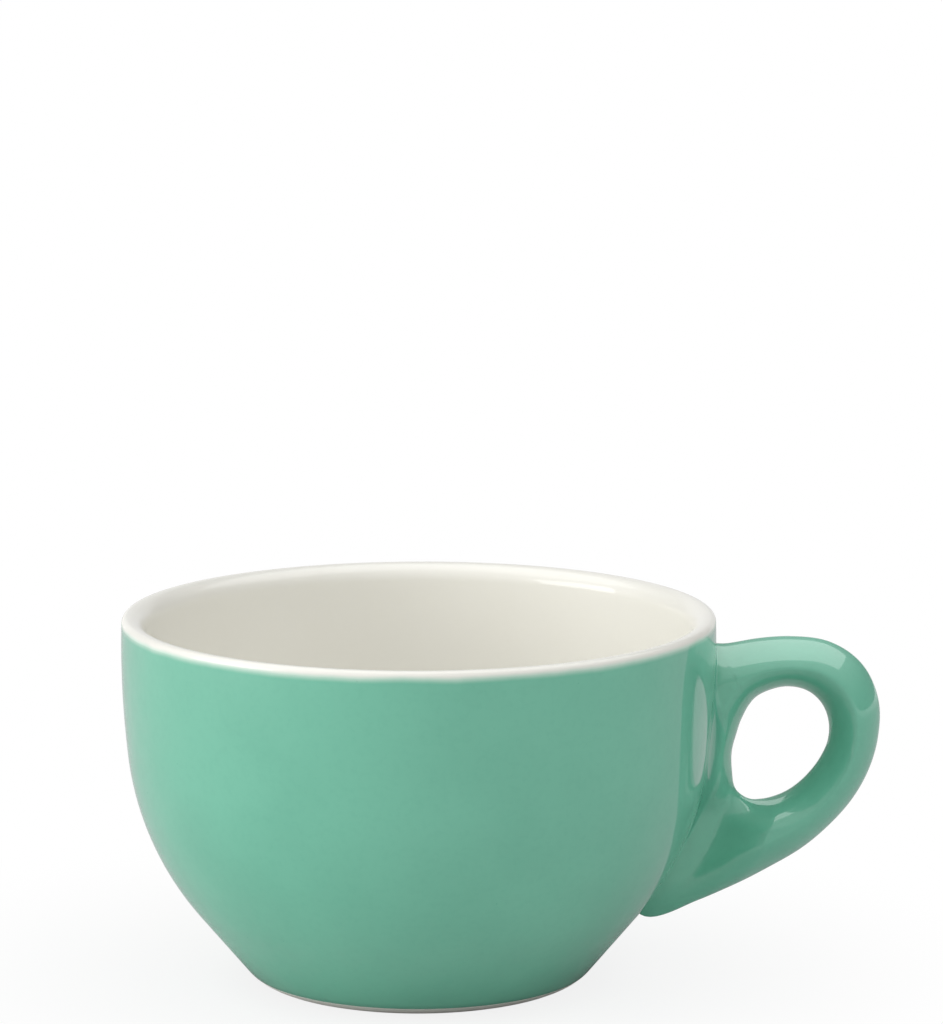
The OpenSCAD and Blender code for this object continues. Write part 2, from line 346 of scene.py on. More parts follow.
# Directions from the finger hole's middle, in degrees, with the distances there of the hole's edge and of the
# handle's outer edge
HANDLE_SECTIONS = (
    (146, 0.0071, 0.0200),
    (131, 0.0076, 0.0200),
    (118, 0.0081, 0.0175),
    (102, 0.0084, 0.0166),
    (84, 0.0088, 0.0166),
    (64, 0.0090, 0.0173),
    (45, 0.0087, 0.0173),
    (25, 0.0080, 0.0163),
    (4, 0.0072, 0.0149),
    (-18, 0.0065, 0.0141),
    (-40, 0.0063, 0.0141),
    (-60, 0.0066, 0.0149),
    (-78, 0.0073, 0.0167),
    (-94, 0.0082, 0.0193),
    (-107, 0.0091, 0.0231),
    (-117, 0.0098, 0.0277),
    (-127, 0.0100, 0.0340),
    (-136, 0.0097, 0.0320),
    (-150, 0.0085, 0.0250),
    (-168, 0.0076, 0.0200),
    (-191, 0.0069, 0.0190),
)
# Stations from one row of the list to the next
BETWEEN = 8
# Points of a section's side that show, points from there to its middle, and points that they are spaced along
SHOWN_POINTS = 60
SUNK_POINTS = 5
FINE_POINTS = 90
# Share of a side that the last points take on a section just clear of the bowl
SUNK_SHARE_LEAST = 0.001
# Depth to which the handle's skin runs into the wall
SUNK = 0.0008
# Step and reach of the search for the wall, halvings of the search for the seam, and step of the search for
# the place where the hollow starts
WALL_STEP = 0.00002
WALL_SEARCH = 0.020
SEAM_HALVINGS = 40
SHARE_STEP = 0.002
# Least reach of the hollow
HOLLOW_LEAST = 0.00015
# Heights between which the seam's hollow has its full reach, and past which it has its least
HOLLOW_HEIGHTS = (0.014, 0.028, 0.040, 0.047)
# Stations over which the spacing of the points changes where the handle leaves the bowl
FREE_STATIONS = 14
# Radii of the ring that the handle is shaped from
RING_R = 0.012
RING_TUBE_R = 0.004
# Attribute that holds how far the glaze has pooled
POOLED = "pooled"


def section_row(i):
    """Row of the section list, which goes on round the hole past its ends."""
    lap, i = divmod(i, len(HANDLE_SECTIONS))
    direction, hole_edge, outer_edge = HANDLE_SECTIONS[i]
    return Vector((direction - 360 * lap, hole_edge, outer_edge))


def section_at(i):
    """Direction, hole edge and outer edge at a station, on a smooth curve through the section list."""
    k, t = divmod(i / BETWEEN, 1)
    p, q, r, s = (section_row(int(k) + step) for step in (-1, 0, 1, 2))
    return q + (r - p) * t / 2 + (2 * p - 5 * q + 4 * r - s) * t**2 / 2 + (3 * q - p - 3 * r + s) * t**3 / 2


def spread(points, shares):
    """Points at given shares of the length of a line of points."""
    lengths = [0.0]
    for p, q in zip(points, points[1:]):
        lengths.append(lengths[-1] + (q - p).length)
    k = 0
    for share in shares:
        way = share * lengths[-1]
        while k < len(points) - 2 and lengths[k + 1] < way:
            k += 1
        step = lengths[k + 1] - lengths[k]
        yield points[k].lerp(points[k + 1], (way - lengths[k]) / step if step else 0)


class HandleSection:
    """One section of the handle, in a plane through the hole's axis, as distance from the axis and depth."""

    def __init__(self, size, bowl, row):
        self.size = size
        self.bowl = bowl
        self.direction = math.radians(row[0])
        self.hole_edge = row[1]
        self.outer_edge = row[2]
        lean = math.cos(self.direction)
        self.depth = (size.root_w + size.grip_w) / 4 - (size.root_w - size.grip_w) / 4 * lean
        half_span = (self.outer_edge - self.hole_edge) / 2
        self.hole_rounding = min(size.hole_edge_w, half_span)
        self.outer_rounding = min(size.outer_edge_w, half_span)
        self.share = self.seam_share()

    def place(self, point):
        """Point of the cup at a distance from the hole's axis and a depth to the side."""
        x = self.bowl.rim_r + self.size.hole_out + point.x * math.cos(self.direction)
        return Vector((x, point.y, self.size.hole_z + point.x * math.sin(self.direction)))

    def thinned(self, reach):
        """Share of the depth left at a distance from the hole's axis: the tail thins towards the bowl."""
        size = self.size
        place = self.place(Vector((reach, 0)))
        low = 1 - smooth_step(place.z, size.tail_z, size.web_z)
        near = 1 - soft_ramp(place.x - self.bowl.radius(place.z), size.tail_gap, size.tail_reach)
        return 1 - (1 - size.tail_share) * low * near

    def skin(self, share):
        """Reach and depth at a share of the way from the hole's edge over the side to the outer edge."""
        power = 2 / self.size.section_power
        edge = self.hole_rounding if share < 0.5 else self.outer_rounding
        way = min(share, 1 - share) * (self.outer_edge - self.hole_edge)
        a = math.pi / 2 * min(max(way, 0) / edge, 1)
        inset = edge * (1 - math.cos(a) ** power) if way < edge else way
        reach = self.hole_edge + inset if share < 0.5 else self.outer_edge - inset
        return Vector((reach, self.depth * math.sin(a) ** power * self.thinned(reach)))

    def gap(self, point):
        """How far a point is outside the bowl."""
        place = self.place(point)
        return place.xy.length - self.bowl.radius(place.z)

    def wall_point(self, depth, near, other):
        """Point past a near one where the plane enters the bowl at a depth, or another where it doesn't."""
        point = Vector((near, depth))
        while self.gap(point) > 0:
            point.x += WALL_STEP
            if point.x > near + WALL_SEARCH:
                return other
        return point

    def seam_share(self):
        """Share of the way over the side at which it runs into the bowl, or 1 where it stays clear."""
        if self.gap(Vector((self.outer_edge, 0))) >= 0:
            return 1.0
        clear = 0.0
        inside = 1.0
        for _ in range(SEAM_HALVINGS):
            middle = (clear + inside) / 2
            if self.gap(self.skin(middle)) > 0:
                clear = middle
            else:
                inside = middle
        return clear

    def hollow_reach(self, seam):
        """Reach of the hollow at the seam: broad by the hole, slight under the lip and along the tail."""
        size = self.size
        low_end, low, high, high_end = HOLLOW_HEIGHTS
        z = self.place(seam).z
        broad = smooth_step(z, low_end, low) * (1 - smooth_step(z, high, high_end))
        reach = size.seam_end_r + (size.seam_r - size.seam_end_r) * broad
        return max(reach * min(seam.y / (self.depth * size.tail_share), 1), HOLLOW_LEAST)

    def half(self, free):
        """Points of half the section, from the hole's edge to the outer edge or the middle of the wall,
        and how far the glaze has pooled at each. Free says how even a section clear of the bowl is."""
        shares = [j / (SHOWN_POINTS - 1) for j in range(SHOWN_POINTS)]
        if self.share == 1.0:
            even = SUNK_POINTS / (SHOWN_POINTS + SUNK_POINTS)
            sunk = SUNK_SHARE_LEAST + (even - SUNK_SHARE_LEAST) * free
            shares = [share * (1 - sunk) for share in shares]
            shares += [1 - sunk + sunk * (j + 1) / SUNK_POINTS for j in range(SUNK_POINTS)]
            line = [self.skin(j / FINE_POINTS) for j in range(FINE_POINTS + 1)]
            return [(point, 0.0) for point in spread(line, shares)]
        seam = self.skin(self.share)
        hollow = self.hollow_reach(seam)
        start = self.share
        while (self.skin(start) - seam).length < hollow and start > self.share / 2:
            start -= SHARE_STEP
        end = self.wall_point(seam.y + hollow, seam.x, seam)
        beyond = self.wall_point(end.y + hollow, seam.x, end)
        bend = end - (beyond - seam).normalized() * (end - seam).length
        line = [self.skin(start * j / FINE_POINTS) for j in range(FINE_POINTS)]
        for j in range(FINE_POINTS + 1):
            t = j / FINE_POINTS
            line.append(self.skin(start) * (1 - t) ** 2 + bend * 2 * t * (1 - t) + end * t**2)
        points = list(spread(line, shares))
        wall = self.wall_point(0, seam.x - self.outer_rounding, seam)
        middle = Vector((min(self.outer_edge, wall.x + SUNK), 0))
        points += [end.lerp(middle, (j + 1) / SUNK_POINTS) for j in range(SUNK_POINTS)]
        return [(point, max(1 - (point - seam).length / hollow, 0)) for point in points]


def free_shares(sections):
    """For each section, how far round the hole it is from the nearest one on the bowl, as a smooth step."""
    count = len(sections)
    on_bowl = [i for i in range(count) if sections[i].share < 1]
    for i in range(count):
        away = min(min((i - k) % count, (k - i) % count) for k in on_bowl)
        yield smooth_step(away, 0, FREE_STATIONS)


def feed(tree, socket, value):
    """Links an input to another node's output, or sets it."""
    if isinstance(value, bpy.types.NodeSocket):
        tree.links.new(value, socket)
    else:
        socket.default_value = value


def add_node(tree, kind, settings=None, inputs=None):
    """Adds a node with its settings, and links or sets the inputs that its settings leave in use."""
    node = tree.nodes.new(kind)
    for name, value in (settings or {}).items():
        setattr(node, name, value)
    for name, value in (inputs or {}).items():
        feed(tree, next(socket for socket in node.inputs if socket.name == name and socket.enabled), value)
    return node


def maths(tree, operation, *values):
    """Adds a Math node and gives its result."""
    node = add_node(tree, "ShaderNodeMath", {"operation": operation})
    for socket, value in zip(node.inputs, values):
        feed(tree, socket, value)
    return node.outputs[0]


def mixed(tree, factor, first, second):
    """Adds a mix of two colours and gives its result."""
    inputs = {"Factor": factor, "A": first, "B": second}
    node = add_node(tree, "ShaderNodeMix", {"data_type": "RGBA"}, inputs)
    return next(socket for socket in node.outputs if socket.enabled)


def stepped(tree, value, start, end, low=0.0, high=1.0):
    """Adds a smooth step between two values and gives its result."""
    inputs = {"Value": value, "From Min": start, "From Max": end, "To Min": low, "To Max": high}
    return add_node(tree, "ShaderNodeMapRange", {"interpolation_type": "SMOOTHSTEP"}, inputs).outputs[0]


def noise(tree, vector, size, detail=2.0):
    """Adds a noise whose blotches are about a given size and gives its value."""
    inputs = {"Vector": vector, "Scale": 1 / size, "Detail": detail}
    return add_node(tree, "ShaderNodeTexNoise", None, inputs).outputs[0]


def height_above(tree, vector):
    """Adds the height of a place above the table and gives it."""
    return add_node(tree, "ShaderNodeSeparateXYZ", None, {"Vector": vector}).outputs["Z"]


def distance(tree, vector):
    """Adds the distance of a place from the cup's origin and gives it."""
    node = add_node(tree, "ShaderNodeVectorMath", {"operation": "LENGTH"}, {"Vector": vector})
    return node.outputs["Value"]


def axis_distance(tree, vector):
    """Adds the distance of a place from the cup's axis and gives it."""
    place = add_node(tree, "ShaderNodeSeparateXYZ", None, {"Vector": vector}).outputs
    level = add_node(tree, "ShaderNodeCombineXYZ", None, {"X": place["X"], "Y": place["Y"]})
    return distance(tree, level.outputs[0])


def new_group(name, inputs, outputs):
    """Adds a shader node group, and gives its tree with the sockets of its inputs and of its outputs."""
    tree = bpy.data.node_groups.new(name, "ShaderNodeTree")
    for socket, kind in inputs.items():
        tree.interface.new_socket(socket, in_out="INPUT", socket_type=kind)
    for socket, kind in outputs.items():
        tree.interface.new_socket(socket, in_out="OUTPUT", socket_type=kind)
    return tree, tree.nodes.new("NodeGroupInput").outputs, tree.nodes.new("NodeGroupOutput").inputs


# Sizes of the glaze's clouds, mottle, sheen, ripple and peel, and pinholes to a metre
CLOUD_SIZE = 0.016
MOTTLE_SIZE = 0.0011
SHEEN_SIZE = 0.006
RIPPLE_SIZE = 0.0045
PEEL_SIZE = 0.0012
PITS_PER_M = 170.0
# Most that clouds, mottle and pinholes shift the colour towards that of pooled glaze
CLOUD_SHIFT = 0.22
MOTTLE_SHIFT = 0.12
PIT_SHIFT = 0.5
# Peel and pinholes as shares of the ripple's height, and how much pinholes dull the glaze
PEEL_SHARE = 0.12
PIT_SHARE = 1.5
PIT_DULLNESS = 0.4


def glaze_group():
    """Group for how a fired glaze lies: slightly cloudy, faintly rippled, with a few pinholes."""
    name = "glaze_lie"
    if name in bpy.data.node_groups:
        return bpy.data.node_groups[name]
    tree, given, result = new_group(
        name,
        {"Vector": "NodeSocketVector", "Even Colour": "NodeSocketColor", "Pooled Colour": "NodeSocketColor",
         "Pooled": "NodeSocketFloat"},
        {"Colour": "NodeSocketColor", "Roughness": "NodeSocketFloat", "Height": "NodeSocketFloat"},
    )
    vector = given["Vector"]
    cloud = stepped(tree, noise(tree, vector, CLOUD_SIZE, detail=3), start=0.35, end=0.75, high=CLOUD_SHIFT)
    mottle = stepped(tree, noise(tree, vector, MOTTLE_SIZE, detail=3), start=0.4, end=0.8, high=MOTTLE_SHIFT)
    lay = maths(tree, "MAXIMUM", maths(tree, "ADD", cloud, mottle), given["Pooled"])
    pits = add_node(tree, "ShaderNodeTexVoronoi", None, {"Vector": vector, "Scale": PITS_PER_M})
    pit = stepped(tree, pits.outputs["Distance"], start=0.028, end=0.012)
    laid = mixed(tree, lay, given["Even Colour"], given["Pooled Colour"])
    pitted = maths(tree, "MULTIPLY", pit, PIT_SHIFT)
    feed(tree, result["Colour"], mixed(tree, pitted, laid, given["Pooled Colour"]))
    sheen = stepped(tree, noise(tree, vector, SHEEN_SIZE), start=0.3, end=0.7, low=0.42, high=0.52)
    feed(tree, result["Roughness"], maths(tree, "ADD", sheen, maths(tree, "MULTIPLY", pit, PIT_DULLNESS)))
    ripple = noise(tree, vector, RIPPLE_SIZE, detail=1)
    peel = maths(tree, "MULTIPLY", noise(tree, vector, PEEL_SIZE, detail=1), PEEL_SHARE)
    swell = maths(tree, "ADD", ripple, peel)
    feed(tree, result["Height"], maths(tree, "SUBTRACT", swell, maths(tree, "MULTIPLY", pit, PIT_SHARE)))
    return tree


# Length of the colour line's waves, their height as a share of the feather, and the width over which the lip
# turns from inside to outside
WAVE_SIZE = 0.007
WAVE_SHARE = 0.5
OUTSIDE_W = 0.0006


def colour_line_group():
    """Group for the line where the green fades into the white: how green it is at a height outside."""
    name = "colour_line"
    if name in bpy.data.node_groups:
        return bpy.data.node_groups[name]
    tree, given, result = new_group(
        name,
        {"Vector": "NodeSocketVector", "Line Height": "NodeSocketFloat", "Feather": "NodeSocketFloat",
         "Wall Radius": "NodeSocketFloat"},
        {"Tint": "NodeSocketFloat", "Green": "NodeSocketFloat"},
    )
    vector = given["Vector"]
    past_wall = maths(tree, "SUBTRACT", axis_distance(tree, vector), given["Wall Radius"])
    outside = stepped(tree, past_wall, start=0, end=OUTSIDE_W)
    wave = maths(tree, "SUBTRACT", noise(tree, vector, WAVE_SIZE, detail=3), 0.5)
    drop = maths(tree, "SUBTRACT", given["Line Height"], height_above(tree, vector))
    share = maths(tree, "DIVIDE", drop, given["Feather"])
    way = maths(tree, "ADD", share, maths(tree, "MULTIPLY", wave, WAVE_SHARE))
    feed(tree, result["Tint"], maths(tree, "MULTIPLY", outside, stepped(tree, way, start=-0.55, end=0.15)))
    feed(tree, result["Green"], maths(tree, "MULTIPLY", outside, stepped(tree, way, start=-0.15, end=0.60)))
    return tree


# Sizes of the clay's grain and rubbed patches, and grinding rings to a metre
GRAIN_SIZE = 0.00035
PATCH_SIZE = 0.004
RINGS_PER_M = 6000.0
# Shares of the rubbing in patches and all over, how far the grain shifts the colour, and the depth of the
# rings against the grain
PATCHY_SHARE = 0.6
ALL_OVER_SHARE = 0.4
GRAIN_SHIFT = 0.30
RING_DEPTH = 0.8


def clay_group():
    """Group for bare fired clay: fine grain, and grinding marks in rings where it has been rubbed."""
    name = "clay_grain"
    if name in bpy.data.node_groups:
        return bpy.data.node_groups[name]
    tree, given, result = new_group(
        name,
        {"Vector": "NodeSocketVector", "Clay Colour": "NodeSocketColor", "Worn Colour": "NodeSocketColor",
         "Worn": "NodeSocketFloat"},
        {"Colour": "NodeSocketColor", "Roughness": "NodeSocketFloat", "Height": "NodeSocketFloat"},
    )
    vector = given["Vector"]
    grain = noise(tree, vector, GRAIN_SIZE, detail=4)
    patch = stepped(tree, noise(tree, vector, PATCH_SIZE, detail=3), start=0.35, end=0.65)
    inputs = {"W": axis_distance(tree, vector), "Scale": RINGS_PER_M}
    rings = add_node(tree, "ShaderNodeTexNoise", {"noise_dimensions": "1D"}, inputs)
    patchy = maths(tree, "ADD", maths(tree, "MULTIPLY", patch, PATCHY_SHARE), ALL_OVER_SHARE)
    worn = maths(tree, "MULTIPLY", given["Worn"], patchy)
    rubbed = maths(tree, "MULTIPLY", worn, rings.outputs[0])
    shade = maths(tree, "ADD", rubbed, maths(tree, "MULTIPLY", grain, GRAIN_SHIFT))
    feed(tree, result["Colour"], mixed(tree, shade, given["Clay Colour"], given["Worn Colour"]))
    feed(tree, result["Roughness"], stepped(tree, worn, start=0, end=1, low=0.85, high=0.55))
    feed(tree, result["Height"], maths(tree, "ADD", grain, maths(tree, "MULTIPLY", rubbed, RING_DEPTH)))
    return tree


def place_group(tree, group, inputs):
    """Places a shader group in a material and gives its outputs."""
    return add_node(tree, "ShaderNodeGroup", {"node_tree": group}, inputs).outputs


def new_material(name):
    """Adds a node material, and gives it with its tree, its shader and the object's own coordinates."""
    material = bpy.data.materials.new(name)
    material.use_nodes = True
    tree = material.node_tree
    vector = tree.nodes.new("ShaderNodeTexCoord").outputs["Object"]
    return material, tree, tree.nodes["Principled BSDF"], vector


def bump(tree, shader, height, relief):
    """Turns a height into the shader's normal."""
    node = add_node(tree, "ShaderNodeBump", None, {"Height": height, "Distance": relief})
    tree.links.new(node.outputs[0], shader.inputs["Normal"])


# Heights between which the white glaze pools towards the floor, and height of the green pool above the foot
WHITE_POOL_TOP = 0.030
WHITE_POOL_FLOOR = 0.006
GREEN_POOL_H = 0.0012
# Heights of the relief that a full bump stands for
GLAZE_RELIEF = 0.000012
CLAY_RELIEF = 0.00003


def glaze_material(name, context, is_white):
    """Glossy glaze: clear on top, with the colour below, and the soft line between green and white."""
    if name in bpy.data.materials:
        return bpy.data.materials[name]
    finish = context.scene.cup_finish
    bowl = BowlShape(context.scene.cup_bowl)
    material, tree, shader, vector = new_material(name)
    height = height_above(tree, vector)
    surface = {"IOR": 1.5, "Specular IOR Level": 0.4, "Coat Roughness": 0.04}
    if is_white:
        inside = bowl.rim_r - bowl.size.wall_t / 2
        pooled = stepped(tree, height, start=WHITE_POOL_TOP, end=WHITE_POOL_FLOOR, high=0.7)
        colours = {"Even Colour": (*finish.white, 1), "Pooled Colour": (*finish.white_deep, 1)}
        surface |= {"Coat Weight": 0.6, "Coat IOR": 1.5}
    else:
        inside = 0.0
        bare_h = bowl.size.bare_h
        foot = stepped(tree, height, start=bare_h + GREEN_POOL_H, end=bare_h, high=0.8)
        hollow = add_node(tree, "ShaderNodeAttribute", {"attribute_name": POOLED}).outputs["Fac"]
        pooled = maths(tree, "MAXIMUM", foot, stepped(tree, hollow, start=0.1, end=0.6, high=0.7))
        colours = {"Even Colour": (*finish.green, 1), "Pooled Colour": (*finish.green_deep, 1)}
        surface |= {"Coat Weight": 1.0, "Coat IOR": 1.7}
    lie = place_group(tree, glaze_group(), {"Vector": vector, "Pooled": pooled, **colours})
    line = place_group(
        tree,
        colour_line_group(),
        {"Vector": vector, "Line Height": bowl.colour_z, "Feather": finish.feather, "Wall Radius": inside},
    )
    green = (*finish.green, 1) if is_white else lie["Colour"]
    white = lie["Colour"] if is_white else (*finish.white, 1)
    tinted = mixed(tree, line["Tint"], white, (*finish.green_thin, 1))
    tree.links.new(mixed(tree, line["Green"], tinted, green), shader.inputs["Base Color"])
    tree.links.new(lie["Roughness"], shader.inputs["Roughness"])
    for socket, value in surface.items():
        shader.inputs[socket].default_value = value
    bump(tree, shader, lie["Height"], GLAZE_RELIEF)
    return material


def clay_material(name, context):
    """Bare fired clay, rubbed where the cup stands."""
    if name in bpy.data.materials:
        return bpy.data.materials[name]
    finish = context.scene.cup_finish
    material, tree, shader, vector = new_material(name)
    clay = place_group(
        tree,
        clay_group(),
        {"Vector": vector, "Clay Colour": (*finish.clay, 1), "Worn Colour": (*finish.clay_worn, 1),
         "Worn": stepped(tree, height_above(tree, vector), start=WORN_H, end=0)},
    )
    tree.links.new(clay["Colour"], shader.inputs["Base Color"])
    tree.links.new(clay["Roughness"], shader.inputs["Roughness"])
    bump(tree, shader, clay["Height"], CLAY_RELIEF)
    return material


class CUP_OT_clay_bowl(bpy.types.Operator):
    """Models the bare clay bowl, which shows at the foot ring"""

    bl_idname = "cup.clay_bowl"
    bl_label = "Clay Bowl"

    def execute(self, context):
        size = context.scene.cup_bowl
        bowl = BowlShape(size)
        t = size.glaze_t
        start = bowl.foot_c + Vector((0, -size.foot_edge_r))
        obj = start_line("clay_bowl", start)
        arc_about(bowl.foot_c, -math.pi / 2, bowl.bare_a, steps=6)
        line_by(-t * polar(bowl.bare_a))
        draw_flank(bowl, foot_steps=4, belly_steps=14)
        arc_about(bowl.wall_c, -bowl.belly_a, bowl.lip_a, steps=6)
        draw_lining(bowl, lip_steps=6, wall_steps=8, belly_steps=12, corner_steps=8)
        line_by(Vector((0, size.recess_h + 2 * t - bowl.floor_z)))
        line_by(Vector((bowl.recess_c.x, 0)))
        arc_about(bowl.recess_c, math.pi / 2, size.recess_slant, steps=6)
        line_by(-t * polar(size.recess_slant))
        arc_about(bowl.recess_edge_c, size.recess_slant - math.pi, -math.pi / 2, steps=6)
        line_by(start - bowl.recess_edge_c - Vector((0, -size.recess_edge_r)))
        turn_round(size.around)
        finish_piece(obj, clay_material("foot_clay", context), "bowl")
        return {"FINISHED"}


class CUP_OT_white_glaze(bpy.types.Operator):
    """Models the white glaze that lines the bowl and runs over the lip, and the white glaze in the recess"""

    bl_idname = "cup.white_glaze"
    bl_label = "White Glaze"

    def execute(self, context):
        size = context.scene.cup_bowl
        bowl = BowlShape(size)
        material = glaze_material("milk_glaze", context, is_white=True)
        obj = start_line("white_lining", bowl.wall_c + size.wall_r * polar(bowl.colour_a))
        arc_about(bowl.wall_c, bowl.colour_a, bowl.lip_a, steps=2)
        draw_lining(bowl, lip_steps=12, wall_steps=12, belly_steps=20, corner_steps=12)
        turn_round(size.around)
        thicken(obj, size.glaze_t)
        finish_piece(obj, material, "inner_glaze")
        obj = start_line("white_recess", Vector((0, size.recess_h)))
        line_by(Vector((bowl.recess_c.x, 0)))
        arc_about(bowl.recess_c, math.pi / 2, size.recess_slant, steps=10)
        turn_round(size.around)
        bpy.ops.object.mode_set(mode="EDIT")
        bpy.ops.mesh.select_all(action="SELECT")
        if obj.data.polygons[0].normal.z > 0:
            bpy.ops.mesh.flip_normals()
        bpy.ops.object.mode_set(mode="OBJECT")
        thicken(obj, size.glaze_t)
        finish_piece(obj, material, "base_glaze")
        return {"FINISHED"}


class CUP_OT_green_glaze(bpy.types.Operator):
    """Models the green glaze outside the bowl, from the colour line to just above the foot"""

    bl_idname = "cup.green_glaze"
    bl_label = "Green Glaze"

    def execute(self, context):
        size = context.scene.cup_bowl
        bowl = BowlShape(size)
        lower_edge = bowl.foot_c + size.foot_edge_r * polar(bowl.bare_a)
        obj = start_line("green_coat", lower_edge)
        draw_flank(bowl, foot_steps=6, belly_steps=28)
        arc_about(bowl.wall_c, -bowl.belly_a, bowl.colour_a, steps=14)
        turn_round(size.around)
        thicken(obj, size.glaze_t)
        round_ring(obj, lower_edge, size.glaze_edge_r)
        material = glaze_material("jade_glaze", context, is_white=False)
        finish_piece(obj, material, "outer_glaze")
        return {"FINISHED"}


class CUP_OT_handle_glaze(bpy.types.Operator):
    """Models the glazed handle, which runs into the bowl in a soft hollow"""

    bl_idname = "cup.handle_glaze"
    bl_label = "Handle Glaze"

    def execute(self, context):
        size = context.scene.cup_handle
        bowl = BowlShape(context.scene.cup_bowl)
        stations = BETWEEN * len(HANDLE_SECTIONS)
        last = SHOWN_POINTS + SUNK_POINTS - 1
        ring = 2 * last
        bpy.ops.object.select_all(action="DESELECT")
        bpy.ops.mesh.primitive_torus_add(
            major_segments=stations, minor_segments=ring, major_radius=RING_R, minor_radius=RING_TUBE_R
        )
        obj = context.object
        obj.name = "green_handle"
        pooled = obj.data.attributes.new(POOLED, "FLOAT", "POINT")
        sections = [HandleSection(size, bowl, section_at(i)) for i in range(stations)]
        for i, free in enumerate(free_shares(sections)):
            points = sections[i].half(free)
            for j in range(ring):
                point, hollow = points[min(j, ring - j)]
                side = Vector((point.x, -point.y if j <= last else point.y))
                obj.data.vertices[i * ring + j].co = sections[i].place(side)
                pooled.data[i * ring + j].value = hollow
        bpy.ops.object.mode_set(mode="EDIT")
        bpy.ops.mesh.select_all(action="SELECT")
        bpy.ops.mesh.normals_make_consistent(inside=False)
        bpy.ops.object.mode_set(mode="OBJECT")
        material = glaze_material("jade_glaze", context, is_white=False)
        finish_piece(obj, material, "handle_glaze")
        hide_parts("handle", "handle_slip_joint")
        return {"FINISHED"}


# Places, aims and sizes of the softboxes and of the sheet overhead
SOFTBOX_AIM = (0, 0, 0.03)
SIDE_PLACE = (-1.06, -0.28, 0.31)
SIDE_SIZE = (0.8, 0.6)
FILL_PLACE = (0.8, -0.75, 0.4)
FILL_SIZE = (0.8, 0.8)
SHEET_PLACE = (0, 0.125, 0.6)
SHEET_AIM = (0, 0.125, 0)
SHEET_SIZE = (1.3, 0.65)
# Width of the camera's sensor in millimetres
SENSOR_MM = 36
# Side of the floor, and distances from the cup's axis at which its colour is painted dark under the cup as
# contact shade and pale beside it, shows the shadow and then plain white, and starts to be mirrored and is
# mirrored in full
FLOOR_SIZE = 20
PAINTED_SHADE_FULL_R = 0.022
PAINTED_SHADE_END_R = 0.034
SHADOW_R = 0.015
WHITE_R = 0.10
MIRRORED_R = 0.35
MIRRORED_FULL_R = 0.9
# Ways from the cup to the brightest part of the ceiling and to the backdrop
CEILING_WAY = Vector((0, -0.3, 1.0)).normalized()
BACKDROP_WAY = (0, 1, 0)


def add_lamp(scene, name, place, aim, size, radiance):
    """Adds a softbox of a given radiance, turned to a point, which the camera doesn't see."""
    width, depth = size
    lamp = bpy.data.lights.new(name, "AREA")
    lamp.shape = "RECTANGLE"
    lamp.size = width
    lamp.size_y = depth
    lamp.energy = radiance * math.pi * width * depth
    obj = bpy.data.objects.new(name, lamp)
    scene.collection.objects.link(obj)
    obj.location = place
    obj.rotation_euler = (Vector(aim) - obj.location).to_track_quat("-Z", "Y").to_euler()
    obj.visible_camera = False
    return obj


def mixed_shader(tree, factor, first, second):
    """Adds a mix of two shaders and gives its result."""
    node = tree.nodes.new("ShaderNodeMixShader")
    for socket, value in zip(node.inputs, (factor, first, second)):
        tree.links.new(value, socket)
    return node.outputs[0]


def floor_material():
    """Pale floor, white to the camera, with a faint shadow and painted shade under the cup, and open from
    below.
    """
    material, tree, shader, vector = new_material("floor_white")
    nodes = tree.nodes
    shader.inputs["Roughness"].default_value = 0.8
    shader.inputs["Specular IOR Level"].default_value = 0.0
    away = distance(tree, vector)
    # Painted contact shade: the floor's base colour is darker under the cup, as if shaded there
    shade = stepped(tree, away, start=PAINTED_SHADE_FULL_R, end=PAINTED_SHADE_END_R, low=0.3, high=0.7)
    tree.links.new(shade, shader.inputs["Base Color"])
    path = nodes.new("ShaderNodeLightPath").outputs
    white = stepped(tree, away, start=SHADOW_R, end=WHITE_R, low=0.85)
    seen = maths(tree, "MULTIPLY", path["Is Camera Ray"], white)
    mirrored = maths(tree, "MAXIMUM", path["Is Glossy Ray"], path["Is Transmission Ray"])
    mirrored = maths(tree, "MULTIPLY", mirrored, stepped(tree, away, start=MIRRORED_R, end=MIRRORED_FULL_R))
    shown = nodes.new("ShaderNodeEmission").outputs[0]
    lit = mixed_shader(tree, maths(tree, "MAXIMUM", seen, mirrored), shader.outputs[0], shown)
    below = nodes.new("ShaderNodeNewGeometry").outputs["Backfacing"]
    clear = nodes.new("ShaderNodeBsdfTransparent").outputs[0]
    tree.links.new(mixed_shader(tree, below, lit, clear), nodes["Material Output"].inputs["Surface"])
    return material


def facing(tree, direction, way):
    """Adds how nearly a direction runs a given way, from 1 along it to -1 against it, and gives it."""
    node = add_node(tree, "ShaderNodeVectorMath", {"operation": "DOT_PRODUCT"}, {"Vector": direction})
    node.inputs[1].default_value = way
    return node.outputs["Value"]


def add_world(scene, studio):
    """Lights the room, more from above, with a backdrop that the glaze mirrors, and white to the camera."""
    world = bpy.data.worlds.new("studio")
    scene.world = world
    world.use_nodes = True
    tree = world.node_tree
    direction = tree.nodes.new("ShaderNodeTexCoord").outputs["Generated"]
    up = facing(tree, direction, CEILING_WAY)
    level = stepped(tree, up, start=0, end=1, low=studio.ambient, high=studio.ambient + studio.crown)
    path = tree.nodes.new("ShaderNodeLightPath").outputs
    back = facing(tree, direction, BACKDROP_WAY)
    backdrop = stepped(tree, back, start=0.75, end=0.95, high=studio.backdrop)
    level = maths(tree, "MAXIMUM", level, maths(tree, "MULTIPLY", path["Is Glossy Ray"], backdrop))
    shown = add_node(tree, "ShaderNodeMix", None, {"Factor": path["Is Camera Ray"], "A": level, "B": 1.0})
    tree.links.new(shown.outputs[0], tree.nodes["Background"].inputs["Strength"])
    tree.nodes["Background"].inputs["Color"].default_value = (1, 1, 1, 1)


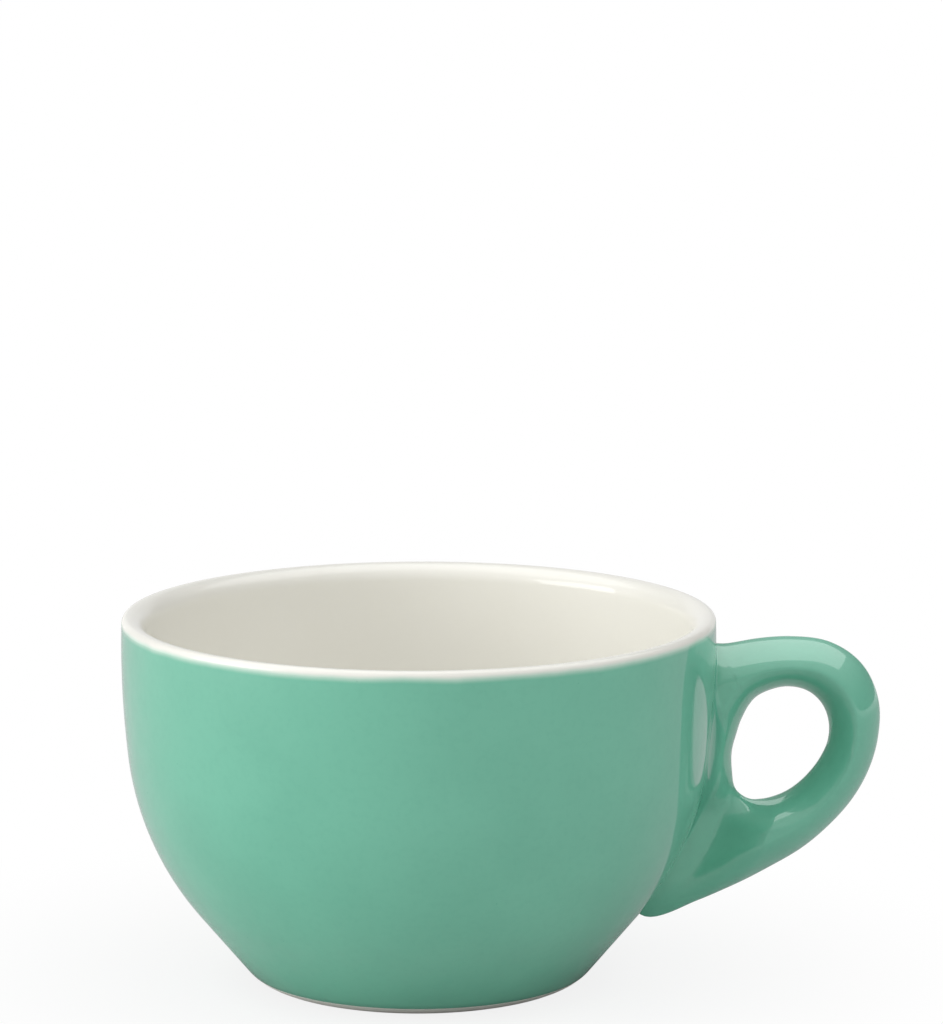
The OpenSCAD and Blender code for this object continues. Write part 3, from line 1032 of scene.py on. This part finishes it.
class CUP_OT_studio(bpy.types.Operator):
    """Sets up the floor, the soft light and the camera"""

    bl_idname = "cup.studio"
    bl_label = "Studio"

    def execute(self, context):
        scene = context.scene
        studio = scene.cup_studio
        scene.view_settings.view_transform = "Standard"
        bpy.ops.object.select_all(action="DESELECT")
        bpy.ops.mesh.primitive_plane_add(size=FLOOR_SIZE)
        floor = context.object
        floor.name = "floor"
        floor.data.materials.append(floor_material())
        add_world(scene, studio)
        add_lamp(scene, "side_softbox", SIDE_PLACE, SOFTBOX_AIM, SIDE_SIZE, studio.side)
        fill = add_lamp(scene, "fill_softbox", FILL_PLACE, SOFTBOX_AIM, FILL_SIZE, studio.fill)
        fill.visible_glossy = False
        sheet = add_lamp(scene, "top_sheet", SHEET_PLACE, SHEET_AIM, SHEET_SIZE, studio.sheet)
        sheet.visible_diffuse = False
        camera = bpy.data.objects.new("camera", bpy.data.cameras.new("camera"))
        scene.collection.objects.link(camera)
        camera.data.lens = studio.lens
        camera.data.sensor_width = SENSOR_MM
        camera.location = (0, -studio.camera_back, studio.camera_h)
        camera.rotation_euler = (math.pi / 2 - studio.camera_tilt, 0, -studio.camera_turn)
        scene.camera = camera
        return {"FINISHED"}


class CUP_PT_panel(bpy.types.Panel):
    """Lists the cup's pieces in the sidebar"""

    bl_idname = "CUP_PT_panel"
    bl_label = "Flat White Cup"
    bl_space_type = "VIEW_3D"
    bl_region_type = "UI"
    bl_category = "Cup"

    def draw(self, context):
        for operator in PIECES:
            self.layout.operator(operator.bl_idname)


GROUPS = {
    "cup_bowl": CUP_PG_bowl,
    "cup_handle": CUP_PG_handle,
    "cup_finish": CUP_PG_finish,
    "cup_studio": CUP_PG_studio,
}
PIECES = (
    CUP_OT_clay_bowl,
    CUP_OT_white_glaze,
    CUP_OT_green_glaze,
    CUP_OT_handle_glaze,
    CUP_OT_studio,
)
CLASSES = (*GROUPS.values(), *PIECES, CUP_PT_panel)


def register():
    """Registers the classes and hangs the settings on the scene."""
    for cls in CLASSES:
        bpy.utils.register_class(cls)
    for name, group in GROUPS.items():
        setattr(bpy.types.Scene, name, PointerProperty(type=group))


def unregister():
    """Takes the settings and the classes away again."""
    for name in GROUPS:
        delattr(bpy.types.Scene, name)
    for cls in reversed(CLASSES):
        bpy.utils.unregister_class(cls)


def main():
    """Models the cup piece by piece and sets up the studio."""
    register()
    bpy.ops.cup.clay_bowl()
    bpy.ops.cup.white_glaze()
    bpy.ops.cup.green_glaze()
    bpy.ops.cup.handle_glaze()
    bpy.ops.cup.studio()


if __name__ == "__main__":
    main()
